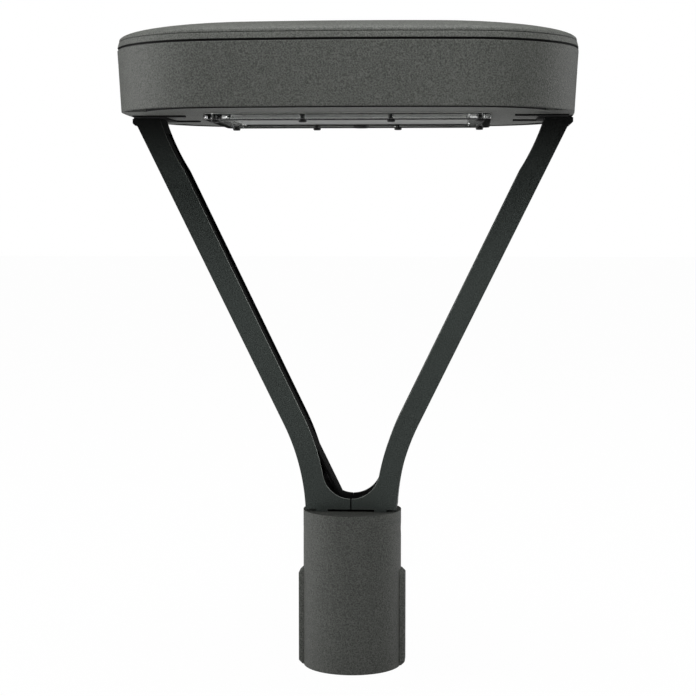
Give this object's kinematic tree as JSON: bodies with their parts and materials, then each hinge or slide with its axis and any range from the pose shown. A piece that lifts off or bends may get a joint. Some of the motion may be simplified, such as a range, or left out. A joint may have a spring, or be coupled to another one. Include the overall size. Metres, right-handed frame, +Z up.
{
  "type": "post-top street light head",
  "caption": "Flat rounded-square LED street light head on two channel-section V arms with a pole sleeve for post-top mounting.",
  "frame": {"origin": "centre of the pole sleeve's bottom rim", "axes": "+Z up along the pole, X across the V of the two arms, front towards -Y"},
  "size_m": [0.393, 0.344, 0.5683],
  "materials": {
    "coated_casting": "matte",
    "coated_arm": "satin",
    "black_rubber": "matte",
    "pale_silicone": "matte",
    "stainless": "satin",
    "black_screw": "satin",
    "clear_lens": "gloss",
    "white_board": "satin",
    "led_phosphor": "satin",
    "zinc_sheet": "satin",
    "driver_case": "satin",
    "grey_plastic": "matte",
    "black_plastic": "matte"
  },
  "bodies": {
    "root": {"pole_sleeve": "coated_casting", "arm_left": "coated_arm", "arm_right": "coated_arm", "lower_housing": "coated_casting", "top_cover": "coated_casting", "cable_cover": "coated_arm", "arm_gasket_left": "black_rubber", "arm_gasket_right": "black_rubber", "cover_gasket": "black_rubber", "set_screws": "stainless", "foot_screws": "stainless", "arm_head_screws": "stainless", "cover_screws": "stainless", "lens_plate_screws": "black_screw", "gear_tray_screws": "stainless", "lens_plate": "clear_lens", "lens_gasket": "pale_silicone", "led_board": "white_board", "led_chips": "led_phosphor", "gear_tray": "zinc_sheet", "led_driver": "driver_case", "surge_protector": "grey_plastic", "terminal_block": "grey_plastic", "cable_gland": "black_plastic", "blind_plug": "black_plastic", "vent_valve": "black_plastic"}
  },
  "joints": []
}
